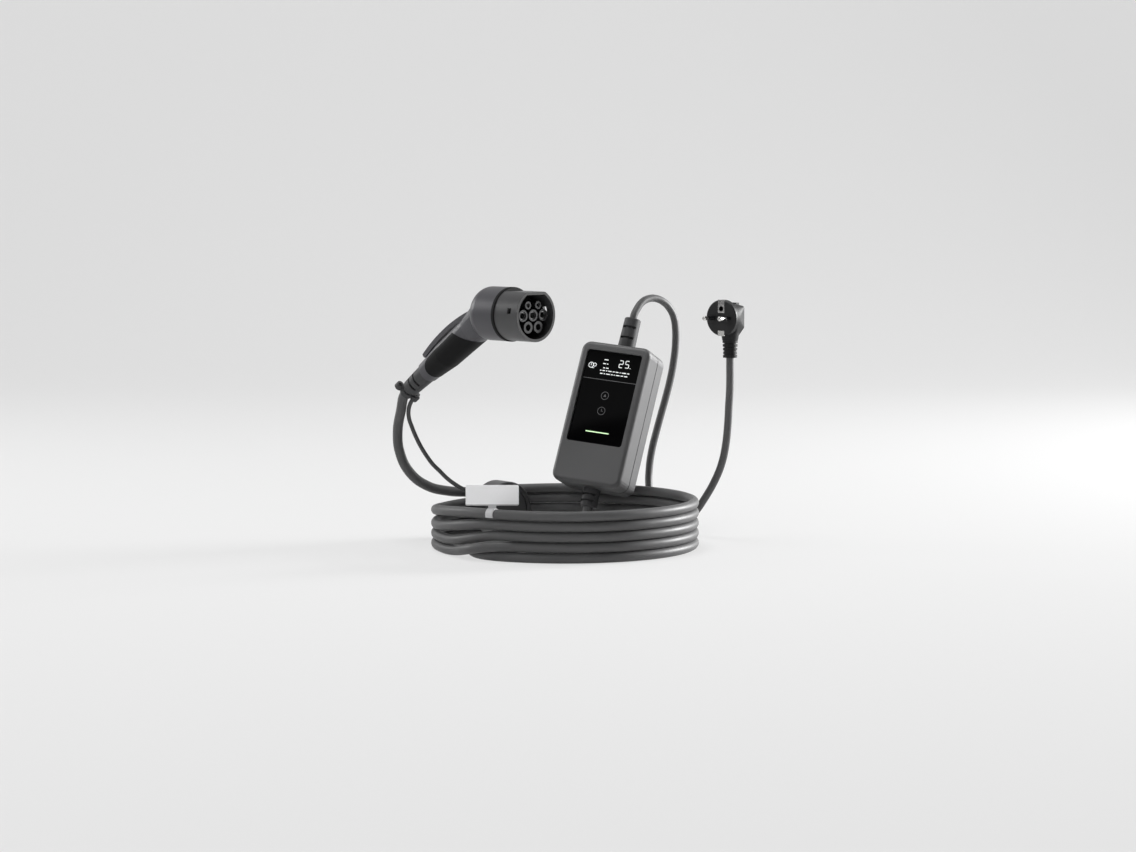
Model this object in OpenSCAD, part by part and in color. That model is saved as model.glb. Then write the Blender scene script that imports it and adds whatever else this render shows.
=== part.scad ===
// Portable charger for electric cars: mains plug, control box and car connector on one coiled cable.
// The origin is on the floor at the middle of the coil. +Z is up and -Y faces the viewer.

/* [Charging cable] */
// Diameter of the charging cable
cable_d = 10.4; // [8:0.1:12]
// Diameter of the coil at the middle of its turns
coil_d = 266; // [240:1:300]
// Turns stacked in the coil
coil_turns = 5; // [3:1:7]
// How far the lowest turn is pressed flat on the floor
coil_flat = 0.15; // [0.1:0.05:0.4]

/* [Mains lead and tether] */
// Diameter of the mains lead
lead_d = 8; // [6:0.1:10]
// Diameter of the dust cap's tether
tether_d = 4.4; // [3:0.1:5]

/* [Control box] */
// Width of the box
box_w = 81; // [70:1:100]
// Height of the box
box_h = 155; // [150:1:190]
// Depth of the box from face to back
box_d = 45; // [42:1:60]
// Wall of the two shells
box_wall = 2.8; // [2:0.1:4]
// Radius of the four corners seen from the front
box_corner = 10; // [8:0.5:16]
// Rounding of the front edge
box_edge = 5; // [3:0.5:7]
// Depth of the front shell, up to the seal
front_d = 24; // [22:0.5:28]
// Thickness of the seal between the shells
seal_t = 1.2; // [0.8:0.1:2]
// How far the seal lies inside the outline
seal_inset = 0.7; // [0.4:0.1:1.2]

/* [Touch panel] */
// Width of the glossy panel
panel_w = 64; // [50:1:66]
// Height of the glossy panel
panel_h = 101; // [80:1:104]
// Thickness of the glossy panel
panel_t = 2; // [1.2:0.1:3]
// How far the panel's face lies below the bezel
panel_sink = 2.6; // [1:0.1:4]
// Centre of the panel above the middle of the box
panel_up = 17.5; // [14:0.5:20]
// Thickness of the shell behind the panel
panel_floor = 2.5; // [2:0.1:4]
// Width of the display behind the panel
display_w = 52; // [40:1:58]
// Height of the display behind the panel
display_h = 25; // [18:1:28]
// Length of the status light bar
light_l = 27; // [15:1:40]
// Thickness of the status light bar
light_t = 1.7; // [1:0.1:3]

/* [Circuit board] */
// Thickness of the circuit board
board_t = 1.6; // [1:0.1:2.4]
// Front of the board behind the face of the box
board_y = 15.5; // [14:0.5:18]
// Gap between the board and the side walls
board_gap = 4; // [3:0.5:8]
// Shank diameter of the board screws
board_screw_d = 2.5; // [2:0.1:3]
// Shank diameter of the case screws
case_screw_d = 3; // [2.5:0.1:3.5]

/* [Cable glands] */
// Diameter of the glands on the control box
gland_d = 18; // [16:0.5:22]
// Length of the mains gland outside the box
mains_gland_l = 35; // [26:0.5:40]
// Length of the charging cable's gland outside the box
cable_gland_l = 20; // [16:0.5:22]
// Length of the connector's gland
handle_gland_l = 33; // [26:0.5:36]
// Width of a bend slot in a gland
slot_w = 2.6; // [1.5:0.1:4]

/* [Connector nose] */
// Diameter of the nose
nose_d = 52.8; // [50:0.1:56]
// Height of the flat on top of the nose, from the nose axis
nose_flat = 23.4; // [21:0.1:25]
// Distance from the head to the nose's rim
nose_l = 36.5; // [32:0.5:42]
// Wall of the nose
nose_wall = 2.8; // [2:0.1:3.5]
// Width of the seal ring between nose and head
ring_w = 4; // [3:0.1:6]
// How far the towers stop behind the rim
tower_sink = 4; // [2:0.5:8]
// Distance between neighbouring power contacts
contact_pitch = 13.7; // [13:0.1:14.5]
// Diameter of a power tower
power_tower_d = 11.8; // [11:0.1:12.4]
// Diameter of a signal tower
signal_tower_d = 7.9; // [7:0.1:8.6]
// Bore of a power contact
power_bore_d = 6.1; // [6:0.05:6.3]
// Bore of a signal contact
signal_bore_d = 3.1; // [3:0.05:3.3]
// Wall of a power contact
power_wall = 0.95; // [0.7:0.05:1.2]
// Wall of a signal contact
signal_wall = 0.7; // [0.5:0.05:0.9]

/* [Connector handle] */
// Diameter of the round head behind the nose
head_d = 54.4; // [53:0.1:60]
// Length of the head
head_l = 40; // [34:1:50]
// Wall of the head
head_wall = 2.6; // [2:0.1:3.2]
// Slope of the handle below the nose axis
handle_angle = 34; // [28:1:42]
// Length of the handle along its axis
handle_l = 115; // [100:1:125]
// Depth of the recess that the soft grip fills
grip_t = 1.8; // [1:0.1:2.5]
// Width of the spine strip on the handle's back
spine_w = 13; // [8:0.5:18]

/* [Dust cap] */
// Wall of the dust cap
cap_wall = 2.6; // [1.8:0.1:3.4]
// Depth of the dust cap
cap_l = 26; // [20:0.5:32]

/* [Mains plug] */
// Diameter of the plug's face
face_d = 37.6; // [36:0.1:39]
// Diameter of a line pin
pin_d = 4.8; // [4:0.1:4.8]
// Free length of a line pin
pin_l = 19; // [17:0.5:20]
// Distance between the line pins
pin_pitch = 19; // [18:0.5:20]
// Bore of the earth socket
earth_d = 5; // [4.9:0.05:5.2]
// Depth of the earth socket
earth_l = 14; // [12:0.5:15]

/* [Cable tag] */
// Width of the tag
tag_w = 53; // [30:1:70]
// Height of the tag
tag_h = 20.5; // [12:0.5:30]
// Thickness of the tag and its strap
tag_t = 0.9; // [0.6:0.1:1.5]
// Width of the strap round the cable
strap_w = 8.6; // [5:0.2:12]

/* [Fits] */
// Gap between pieces that are pressed or set into each other
fit_gap = 0.1; // [0.05:0.05:0.2]
// Gap round pieces that drop into a recess
drop_gap = 0.25; // [0.15:0.05:0.4]

/* [Hidden] */
$fn = 64;

// Where the groups stand: the box by its front centre, the connector by the middle of its nose seat,
// the plug by the point where its face axis meets the lead's axis.
box_at = [37.5, 93, 130.5];
box_turn = [-20, 5.5, -26];
connector_at = [-54, -85, 245];
connector_yaw = -46;
handle_from = -30;
plug_at = [172, 45, 235];
plug_yaw = -127;
cap_yaw = 127;

// Coil: turn levels from the top down, and the angles where the cable joins, steps down and leaves
coil_r = coil_d / 2;
join_a = 120;
step_a = 222;
leave_a = 240;
function turn_z(k) = cable_d * (coil_turns - k - 0.5) - coil_flat;
function on_coil(a, k) = [coil_r * cos(a), coil_r * sin(a), turn_z(k)];
function along_coil(a) = [sin(a), -cos(a), 0];

// Control box: depths measured back from the face
pocket_d = panel_sink + panel_t;
cavity_y = pocket_d + panel_floor;
rear_y = front_d + seal_t;
gland_y = front_d + seal_t / 2;
inner_w = box_w - 2 * box_wall;
inner_h = box_h - 2 * box_wall;
inner_corner = box_corner - box_wall;
post_r = case_screw_d / 2 + 2.4;
screw_head_r = case_screw_d;
screw_sink = 4;
post_x = inner_w / 2 - post_r;
post_z = inner_h / 2 - post_r;
board_w = inner_w - 2 * board_gap;
board_h = 2 * (post_z - post_r - 1);
board_back = board_y + board_t;
boss_r = board_screw_d / 2 + 1.8;
boss_x = board_w / 2 - boss_r - 0.5;
boss_z = board_h / 2 - boss_r - 0.5;
display_up = panel_up + panel_h / 2 - display_h / 2 - 4;
light_up = panel_up - panel_h / 2 + 13;
flange_t = 3;
flange_r = gland_d / 2 + 3;
neck_r = gland_d / 2 - 0.6;

// Connector: distances along the nose axis, forward from the head
inner_r = head_d / 2 - head_wall;
spigot_l = 10;
base_t = 8;
tower_x = nose_l - tower_sink;
contact_x = tower_x - 1.5;
contact_l = contact_x - base_t - 4;
tail_l = 8;
power_r = power_bore_d / 2 + power_wall;
signal_r = signal_bore_d / 2 + signal_wall;
power_at = [[-contact_pitch, 0], [0, 0], [contact_pitch, 0]];
spare_at = [[-contact_pitch / 2, -contact_pitch * 0.86], [contact_pitch / 2, -contact_pitch * 0.86]];
signal_at = [[-contact_pitch / 2, contact_pitch * 0.74], [contact_pitch / 2, contact_pitch * 0.74]];
lock_w = 5;
lock_x = 25;
lock_z = 5;
gland_r = 9;
clip_s = handle_l + handle_gland_l + 4;
clip_t = 5;
ear_r = 10.2;
ear_turn = 48;

// Dust cap: fits over the nose, stands on its edge and leans at the coil's inner wall
cap_in_r = nose_d / 2 + 0.5;
cap_r = cap_in_r + cap_wall;
cap_mouth = sqrt(pow(coil_r - cable_d / 2 - 0.3, 2) - pow(cap_r, 2));
cap_floor = cap_mouth - cap_l;
lug_x = cap_floor + 6;
lug_r = 4;
lug_l = 6;
lug_turn = 25;
function lug_point(l) = cap_point([lug_x, (cap_r + l) * cos(lug_turn), (cap_r + l) * sin(lug_turn)]);

// Plug: distances along the face axis, forward from the lead's axis
face_x = 17;
face_t = 8;
boot_end = 42;

// Cord routes, point by point, between the pieces that hold their ends
riser_route = [
    [-171, 41, 138], [-175, 49, 115], [-173, 55, 92], [-163, 60, 71], [-146, 68, 56.5], [-125, 80, 49.5],
    [-103, 93, 47]
];
link_route = [
    [-83, -101], [-91, -84], [-93, -64], [-88, -46], [-79, -32], [-64, -15], [-48, 4], [-32, 22], [-16, 41], [0, 60]
];
link_rise = [[10, 71.5, 8], [18.5, 81, 17]];
lead_route = [
    [76.5, 148.5, 237], [82, 155, 244.5], [89.5, 163, 248.5], [98, 170.5, 248.5], [106.5, 177, 244.5],
    [113.5, 182.5, 237], [118, 186, 227.5], [120, 187.5, 215], [120, 188, 198], [118, 188.5, 179], [114.5, 187.5, 160],
    [110, 186, 142], [105, 184.5, 124], [99.5, 182.5, 104], [94.5, 180, 84], [91.5, 176, 64], [91, 170, 45],
    [94, 161, 26], [101, 149, 12], [109, 134, 5], [118, 118, 6], [128, 102, 13], [138, 87, 26], [148, 74, 43],
    [157, 63, 61], [164, 55, 80], [168, 50, 100], [170, 47, 121], [171, 45.5, 142], [172, 45, 163]
];
tether_route = [
    [-162.5, 39, 141], [-163, 43, 131], [-160, 46, 120.5], [-156, 48.5, 110], [-151, 50, 99.5], [-145, 51, 89.5],
    [-138.5, 52, 80.5], [-131, 52.5, 73], [-124, 52, 66], [-116, 51, 60], [-108, 51.5, 55], [-100, 55, 51]
];

function unit(v) = v / norm(v);
function turned(v, a) = [v.x * cos(a) - v.y * sin(a), v.x * sin(a) + v.y * cos(a), v.z];
function lifted(v, a) = [v.x, v.y * cos(a) - v.z * sin(a), v.y * sin(a) + v.z * cos(a)];
function swung(v, a) = [v.x * cos(a) + v.z * sin(a), v.y, -v.x * sin(a) + v.z * cos(a)];

// The same placements as the in_... modules below, for points and directions
function box_dir(v) = turned(swung(lifted(v, box_turn.x), box_turn.y), box_turn.z);
function box_point(v) = box_at + box_dir(v);
function connector_point(v) = connector_at + turned(v, connector_yaw);
function handle_dir(v) = turned(turned(swung(v, handle_angle), 180), connector_yaw);
function handle_point(v) = connector_point([handle_from, 0, 0]) + handle_dir(v);
function cap_point(v) = turned(v, cap_yaw) + [0, 0, cap_r];

module in_box() { translate(box_at) rotate(box_turn) children(); }
module in_connector() { translate(connector_at) rotate([0, 0, connector_yaw]) children(); }
module in_handle() { in_connector() translate([handle_from, 0, 0]) rotate([0, handle_angle, 180]) children(); }
module in_plug() { translate(plug_at) rotate([0, 0, plug_yaw]) children(); }
module in_cap() { translate([0, 0, cap_r]) rotate([0, 0, cap_yaw]) children(); }

// Stands a flat outline up so that it runs forward along X, or back along Y, from a given place
module forward(x) { translate([x, 0, 0]) rotate([90, 0, 90]) children(); }
module backward(y) { translate([0, y, 0]) rotate([-90, 0, 0]) children(); }

// Solid through a list of rings, each with the same number of points
module loft(rings) {
    n = len(rings[0]);
    last = len(rings) - 1;
    points = [for (ring = rings) for (p = ring) p];
    sides = [for (i = [0:last - 1]) for (j = [0:n - 1]) let (a = i * n + j, b = i * n + (j + 1) % n)
        each [[a, b, a + n], [b, b + n, a + n]]];
    caps = [[for (j = [n - 1:-1:0]) j], [for (j = [0:n - 1]) last * n + j]];
    polyhedron(points, concat(sides, caps));
}

// Round cord swept along a route
function heading(p, i) = unit(p[min(i + 1, len(p) - 1)] - p[max(i - 1, 0)]);
function sideways(p, i) = let (
        t = heading(p, i),
        s = i == 0 ? cross(t, [0.3, 0.2, 0.93]) : sideways(p, i - 1)
    ) unit(s - (s * t) * t);
module cord(route, d, sides) {
    loft([for (i = [0:len(route) - 1])
        let (s = sideways(route, i), u = cross(heading(route, i), s))
        [for (j = [0:sides - 1]) let (a = -360 * j / sides) route[i] + d / 2 * (cos(a) * s + sin(a) * u)]]);
}

module rounded_rect(w, h, r) {
    square([w - 2 * r, h], center = true);
    square([w, h - 2 * r], center = true);
    for (x = [-1, 1], y = [-1, 1]) translate([x * (w / 2 - r), y * (h / 2 - r)]) circle(r);
}

// Ring of points round a rectangle with round corners, drawn in from its outline and standing at a depth
function block_ring(w, h, corner, inset, y) = [
    for (q = [[1, 1], [-1, 1], [-1, -1], [1, -1]], k = [0:6])
        let (a = atan2(q.y, q.x) - 45 + 15 * k, r = corner - inset)
        [q.x * (w / 2 - corner) + r * cos(a), y, q.y * (h / 2 - corner) + r * sin(a)]
];

// Block with round corners whose front and back edges are rounded over, from y = 0 back to y = d
module soft_block(w, h, d, corner, edge) {
    arc = [for (a = [90:-18:0]) [edge * (1 - cos(a)), edge * (1 - sin(a))]];
    back = [for (k = [len(arc) - 1:-1:0]) arc[k]];
    loft(concat(
        [for (p = arc) block_ring(w, h, corner, p.x, p.y)],
        [for (p = back) block_ring(w, h, corner, p.x, d - p.y)]));
}

module box_outside() { soft_block(box_w, box_h, box_d, box_corner, box_edge); }
module box_inside() {
    backward(cavity_y) linear_extrude(box_d - box_wall - cavity_y) rounded_rect(inner_w, inner_h, inner_corner);
}
module at_posts() { for (x = [-1, 1], z = [-1, 1]) translate([x * post_x, 0, z * post_z]) children(); }
module at_bosses() { for (x = [-1, 1], z = [-1, 1]) translate([x * boss_x, 0, z * boss_z]) children(); }
module gland_holes() {
    translate([0, gland_y, -box_h / 2 - 1]) cylinder(r = neck_r + fit_gap, h = box_h + 2);
}

// Control box

module front_shell() {
    color("dimgray") in_box() {
        difference() {
            intersection() {
                box_outside();
                translate([-box_w, -1, -box_h]) cube([2 * box_w, front_d + 1, 2 * box_h]);
            }
            box_inside();
            backward(-1) translate([0, -panel_up]) linear_extrude(pocket_d + 1)
                rounded_rect(panel_w + 2 * drop_gap, panel_h + 2 * drop_gap, 3);
            backward(0) translate([0, -display_up]) linear_extrude(cavity_y + 1)
                rounded_rect(display_w + 2 * drop_gap, display_h + 2 * drop_gap, 1);
            backward(0) translate([0, -light_up]) linear_extrude(cavity_y + 1)
                square([light_l + 2 * drop_gap, light_t + 2 * drop_gap], center = true);
            gland_holes();
        }
        difference() {
            at_posts() backward(cavity_y - 0.5) cylinder(r = post_r, h = front_d - cavity_y + 0.5);
            at_posts() backward(cavity_y + 2) cylinder(d = case_screw_d + 2 * fit_gap, h = front_d);
        }
    }
}

module rear_shell() {
    color("dimgray") in_box() {
        difference() {
            intersection() {
                box_outside();
                translate([-box_w, rear_y, -box_h]) cube([2 * box_w, box_d, 2 * box_h]);
            }
            box_inside();
            at_posts() backward(rear_y) cylinder(d = case_screw_d + 4 * fit_gap, h = box_d);
            at_posts() backward(box_d - screw_sink) cylinder(r = screw_head_r + drop_gap, h = screw_sink + 1);
            gland_holes();
        }
        difference() {
            at_bosses() backward(board_back) cylinder(r = boss_r, h = box_d - box_wall - board_back + 0.5);
            at_bosses() backward(board_back - 1) cylinder(d = board_screw_d + 2 * fit_gap, h = 15);
        }
        difference() {
            at_posts() backward(rear_y) cylinder(r = post_r, h = box_d - box_wall - rear_y + 0.5);
            at_posts() backward(rear_y - 1) cylinder(d = case_screw_d + 4 * fit_gap, h = box_d);
            at_posts() backward(box_d - screw_sink) cylinder(r = screw_head_r + drop_gap, h = screw_sink + 1);
        }
    }
}

module case_seal() {
    color("black") in_box() difference() {
        backward(front_d) linear_extrude(seal_t) difference() {
            rounded_rect(box_w - 2 * seal_inset, box_h - 2 * seal_inset, box_corner - seal_inset);
            rounded_rect(inner_w, inner_h, inner_corner);
        }
        gland_holes();
    }
}

module touch_panel() {
    color("black") in_box() backward(panel_sink) linear_extrude(panel_t) difference() {
        translate([0, -panel_up]) rounded_rect(panel_w, panel_h, 3 - drop_gap);
        translate([0, -light_up]) square([light_l + 2 * fit_gap, light_t + 2 * fit_gap], center = true);
    }
}

module display_module() {
    lip = 2;
    header_w = 30;
    color("darkslategray") in_box() {
        backward(pocket_d) translate([0, -display_up]) linear_extrude(panel_floor) rounded_rect(display_w, display_h, 1);
        backward(cavity_y) translate([0, -display_up]) linear_extrude(3)
            rounded_rect(display_w + 2 * lip, display_h + 2 * lip, 1);
        backward(cavity_y + 2) translate([0, -display_up]) linear_extrude(board_y - cavity_y - 2)
            square([header_w, 2.5], center = true);
    }
}

module status_light() {
    stem_w = 12;
    color("palegreen") in_box() backward(panel_sink) translate([0, -light_up]) {
        linear_extrude(cavity_y - panel_sink) square([light_l, light_t], center = true);
        linear_extrude(board_y - panel_sink) square([stem_w, light_t], center = true);
    }
}

module main_board() {
    color("darkgreen") in_box() backward(board_y) linear_extrude(board_t) difference() {
        rounded_rect(board_w, board_h, 2);
        for (x = [-1, 1], z = [-1, 1]) translate([x * boss_x, z * boss_z]) circle(d = board_screw_d + 4 * fit_gap);
    }
}

// Pieces on the back of the board stand on it face to face
module on_board(x, z) { in_box() backward(board_back) translate([x, -z]) children(); }

module power_relays() {
    relay_w = 19;
    relay_h = 15;
    relay_d = 15.5;
    color("royalblue") for (x = [-1, 1]) on_board(x * 12, 22) {
        linear_extrude(relay_d) rounded_rect(relay_w, relay_h, 1);
        translate([-relay_w / 4, relay_h / 4]) cylinder(r = 1.2, h = relay_d + 0.6);
    }
}

module leakage_sensor() {
    ring_r = 12;
    hole_r = 6;
    ring_h = 11;
    color("darkorange") on_board(0, -24) difference() {
        union() {
            cylinder(r = ring_r, h = ring_h);
            linear_extrude(3) square([2 * ring_r, 2 * ring_r + 2], center = true);
        }
        translate([0, 0, -1]) cylinder(r = hole_r, h = ring_h + 2);
    }
}

module supply_transformer() {
    color("goldenrod") on_board(-13, 0) {
        linear_extrude(4) rounded_rect(22, 19, 1);
        linear_extrude(16) rounded_rect(13, 19, 2);
        translate([0, 0, 6]) linear_extrude(8) rounded_rect(22, 15, 1);
    }
}

module supply_capacitors() {
    can_r = 5;
    can_h = 16;
    color("slategray") for (z = [-5.6, 5.6]) on_board(15, z) difference() {
        cylinder(r = can_r, h = can_h);
        translate([0, 0, can_h - 0.4]) for (a = [0, 90]) rotate(a) linear_extrude(1) square([1.6 * can_r, 0.5], center = true);
    }
}

module control_chip() {
    chip_w = 10;
    color("black") on_board(22, -24) difference() {
        linear_extrude(1.4) square(chip_w, center = true);
        translate([-chip_w / 2 + 1.5, -chip_w / 2 + 1.5, 1.1]) cylinder(r = 0.6, h = 1);
    }
}

// Terminal block with a row of wire entries facing the gland and clamp screws on top
module terminal(poles, side) {
    pitch = 6;
    deep = 9;
    high = 11;
    difference() {
        translate([0, 0, high / 2]) cube([poles * pitch, deep, high], center = true);
        for (i = [0:poles - 1]) translate([(i - (poles - 1) / 2) * pitch, 0, 0]) {
            translate([0, side * deep / 2, 4]) rotate([90, 0, 0]) cylinder(d = 3.4, h = deep, center = true);
            translate([0, 0, high - 2]) cylinder(d = 4, h = 3);
        }
    }
}

module mains_terminal() { color("seagreen") on_board(0, boss_z - 6) terminal(3, -1); }
module output_terminal() { color("seagreen") on_board(0, 6 - boss_z) terminal(5, 1); }

module board_screws() {
    head_h = 1.8;
    color("silver") in_box() at_bosses() difference() {
        union() {
            backward(board_y - head_h) cylinder(r = board_screw_d, h = head_h);
            backward(board_y) cylinder(d = board_screw_d, h = board_t + 10);
        }
        backward(board_y - head_h) linear_extrude(0.8) square([board_screw_d, 0.6], center = true);
    }
}

module case_screws() {
    head_h = 2.6;
    key_d = 2.2;
    seat_y = box_d - screw_sink;
    tip_y = cavity_y + 4;
    color("silver") in_box() at_posts() difference() {
        union() {
            backward(seat_y) cylinder(r = screw_head_r, h = head_h);
            backward(tip_y) cylinder(d = case_screw_d, h = seat_y - tip_y + 1);
        }
        backward(seat_y + 1) cylinder(d = key_d, h = head_h, $fn = 6);
    }
}

// Bend slots: arcs cut from two sides of a gland
module bend_slots(r, first, count, pitch) {
    core = 0.62;
    half = 0.86;
    for (k = [0:count - 1]) translate([0, 0, first + k * pitch]) difference() {
        for (side = [-1, 1]) translate([0, side * 2 * r, 0]) cube([2 * half * r, 2 * r * (2 - 0.34), slot_w], center = true);
        cylinder(r = core * r, h = 2 * slot_w, center = true);
    }
}

// Moulded gland: a flange inside the wall, a neck through it and a slotted sleeve outside
module gland(length) {
    lip = 0.8;
    difference() {
        union() {
            translate([0, 0, -box_wall - flange_t]) cylinder(r = flange_r, h = flange_t - fit_gap);
            translate([0, 0, -box_wall - flange_t]) cylinder(r = neck_r, h = box_wall + flange_t + 1);
            translate([0, 0, fit_gap]) cylinder(d1 = gland_d + 0.8, d2 = gland_d - 0.4, h = length - lip - fit_gap);
            translate([0, 0, length - lip]) cylinder(d1 = gland_d - 0.4, d2 = gland_d - 2, h = lip);
        }
        bend_slots(gland_d / 2, length * 0.36, 2, length * 0.34);
    }
}

module mains_gland() {
    color("dimgray") in_box() translate([0, gland_y, box_h / 2]) gland(mains_gland_l);
}

module cable_gland() {
    color("dimgray") in_box() translate([0, gland_y, -box_h / 2]) rotate([180, 0, 0]) gland(cable_gland_l);
}

// Connector

// Section of the nose: round with a flat top and bevelled shoulders
module nose_outline(grow) {
    r = nose_d / 2 + grow;
    shoulder = 40;
    intersection() {
        circle(r);
        translate([-r, -r]) square([2 * r, r + nose_flat + grow]);
        for (side = [-1, 1]) rotate(side * shoulder) translate([-2 * r, -2 * r]) square([4 * r, 3 * r - 0.4]);
    }
}

module nose_shell() {
    color("dimgray") in_connector() difference() {
        union() {
            forward(0) linear_extrude(nose_l) nose_outline(0);
            forward(-spigot_l) cylinder(r = inner_r - fit_gap, h = spigot_l);
        }
        forward(0) linear_extrude(nose_l + 1) nose_outline(-nose_wall);
        forward(-spigot_l - 1) cylinder(r = inner_r - 3, h = spigot_l + 2);
        translate([lock_x, 0, lock_z]) cube([lock_w, nose_d + 2, lock_w + 0.6], center = true);
    }
}

module seal_ring() {
    color("black") in_connector() difference() {
        union() {
            forward(0) cylinder(d = head_d + 0.4, h = ring_w - 1);
            forward(ring_w - 1) cylinder(d1 = head_d + 0.4, d2 = head_d - 1.6, h = 1);
        }
        forward(-1) linear_extrude(ring_w + 2) nose_outline(fit_gap);
    }
}

module contact_carrier() {
    color("black") in_connector() difference() {
        union() {
            forward(0) linear_extrude(base_t) nose_outline(-nose_wall - fit_gap);
            for (p = concat(power_at, spare_at)) forward(base_t - 1) translate(p) cylinder(d = power_tower_d, h = tower_x - base_t + 1);
            for (p = signal_at) forward(base_t - 1) translate(p) cylinder(d = signal_tower_d, h = tower_x - base_t + 1);
        }
        for (p = power_at) forward(-1) translate(p) cylinder(r = power_r + fit_gap, h = nose_l);
        for (p = signal_at) forward(-1) translate(p) cylinder(r = signal_r + fit_gap, h = nose_l);
        for (p = spare_at) forward(base_t) translate(p) cylinder(d = power_bore_d + 0.5, h = nose_l);
    }
}

// Socket contact: a sleeve in front and a solid tail behind
module contact(r, bore_d) {
    difference() {
        translate([0, 0, -tail_l]) cylinder(r = r, h = tail_l + contact_x);
        translate([0, 0, contact_x - contact_l]) cylinder(d = bore_d, h = contact_l + 1);
        translate([0, 0, -tail_l - 1]) cylinder(d = bore_d * 0.8, h = tail_l - 2);
    }
}

module power_contacts() {
    color("silver") in_connector() forward(0) for (p = power_at) translate(p) contact(power_r, power_bore_d);
}

module signal_contacts() {
    color("silver") in_connector() forward(0) for (p = signal_at) translate(p) contact(signal_r, signal_bore_d);
}

// Handle: reach of its section to the back, to the front and to the sides, at each place along its axis
handle_up = [[0, 18], [18, 15], [30, 13], [80, 12.6], [102, 11.4], [115, 11.2]];
handle_low = [[0, 20], [18, 18.6], [30, 16.4], [80, 14.8], [102, 12.2], [115, 11.2]];
handle_wide = [[0, 21], [18, 19], [32, 17], [80, 15.6], [102, 12.8], [115, 11.4]];
handle_stops = [0, 9, 18, 24, 30, 42, 55, 68, 80, 88, 95, 102, 109, 115];
handle_full = handle_stops[len(handle_stops) - 1];
function pillow(a, n) = [sign(cos(a)) * pow(abs(cos(a)), 2 / n), sign(sin(a)) * pow(abs(sin(a)), 2 / n)];
function handle_ring(s, grow) = let (
        up = lookup(s, handle_up) + grow,
        low = lookup(s, handle_low) + grow,
        wide = lookup(s, handle_wide) + grow
    ) [for (j = [0:39]) let (p = pillow(9 * j, 2.3)) [s * handle_l / handle_full, wide * p.x, -p.y * (p.y > 0 ? low : up)]];
module handle_form(grow) { loft([for (s = handle_stops) handle_ring(s, grow)]); }

// Side view of the soft grip: it wraps the lower edge of the handle and has a round lower end
module grip_side() {
    low = -30;
    top = 5.5;
    end_r = 11;
    end = 94;
    polygon(concat(
        [[29, low], [29, -16], [45, top]],
        [for (a = [90:-15:0]) [end + end_r * cos(a), top - end_r + end_r * sin(a)]],
        [[end + end_r, low]]));
}
module grip_prism() { translate([0, 40, 0]) rotate([90, 0, 0]) linear_extrude(80) grip_side(); }

module head_form(grow) {
    round_r = 14;
    r = head_d / 2 + grow;
    length = head_l + grow;
    forward(0) rotate_extrude() intersection() {
        union() {
            translate([0, round_r - length]) square([r, length - round_r]);
            translate([0, -length]) square([r - round_r, length]);
            translate([r - round_r, round_r - length]) circle(round_r);
        }
        translate([0, -length]) square([r, length]);
    }
}

module handle_shell() {
    color("slategray") difference() {
        union() {
            in_connector() head_form(0);
            in_handle() handle_form(0);
        }
        in_connector() forward(8 - head_l) cylinder(r = inner_r, h = head_l);
        in_handle() forward(2) cylinder(r = gland_r - 1, h = handle_l);
        in_handle() difference() {
            grip_prism();
            handle_form(-grip_t);
        }
    }
}

module grip_inlay() {
    color("black") in_handle() intersection() {
        grip_prism();
        difference() {
            handle_form(0.3);
            handle_form(-grip_t);
        }
    }
}

// Bowed strip along the back of the handle: both ends sit on it and the middle stands clear
module spine_strip() {
    root = 16;
    tip = 106;
    tip_r = 4.2;
    mid = 64;
    top = 20.4;
    thick = 5;
    bow_r = 200;
    seat_gap = 0.02;
    color("gray") difference() {
        in_handle() translate([0, spine_w / 2, 0]) rotate([90, 0, 0]) linear_extrude(spine_w) intersection() {
            translate([mid, top - bow_r]) difference() {
                circle(bow_r, $fn = 200);
                circle(bow_r - thick, $fn = 200);
            }
            union() {
                translate([root, 0]) square([tip - tip_r - root, 2 * top]);
                translate([tip - tip_r, 14.3]) circle(tip_r);
            }
        }
        in_handle() handle_form(seat_gap);
        in_connector() head_form(seat_gap);
    }
}

module coding_board() {
    color("darkgreen") in_connector() {
        translate([-tail_l - 1.7, -9, 4]) cube([1.6, 18, 12]);
        for (p = signal_at) forward(-tail_l - 0.1) translate(p) cylinder(r = signal_bore_d * 0.36, h = 3);
        translate([-tail_l - 3, -3, 11]) cube([1.4, 6, 2.5]);
    }
}

module handle_gland() {
    lip = 1;
    root_l = 12;
    color("dimgray") in_handle() forward(handle_l) difference() {
        union() {
            translate([0, 0, -root_l]) cylinder(r = gland_r - 1 - fit_gap, h = root_l + 1);
            cylinder(r1 = gland_r + 1.6, r2 = gland_r, h = handle_gland_l - lip);
            translate([0, 0, handle_gland_l - lip]) cylinder(r1 = gland_r, r2 = gland_r - 1, h = lip);
        }
        rotate(90) bend_slots(gland_r + 0.6, handle_gland_l * 0.42, 2, handle_gland_l * 0.26);
    }
}

// Clip on the cable below the connector: a collar with an eye on each side
module tether_clip() {
    collar_r = cable_d / 2 + 2;
    eye_r = tether_d / 2 + 0.15;
    color("black") in_handle() forward(clip_s) rotate(ear_turn) difference() {
        union() {
            cylinder(r = collar_r, h = clip_t);
            translate([0, 0, clip_t / 2]) cube([2 * ear_r, 4, clip_t], center = true);
            for (side = [-1, 1]) translate([side * ear_r, 0, 0]) cylinder(r = eye_r + 2, h = clip_t);
        }
        translate([0, 0, -1]) cylinder(r = cable_d / 2 + fit_gap, h = clip_t + 2);
        for (side = [-1, 1]) translate([side * ear_r, 0, -1]) cylinder(r = eye_r, h = clip_t + 2);
    }
}

// Dust cap

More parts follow.
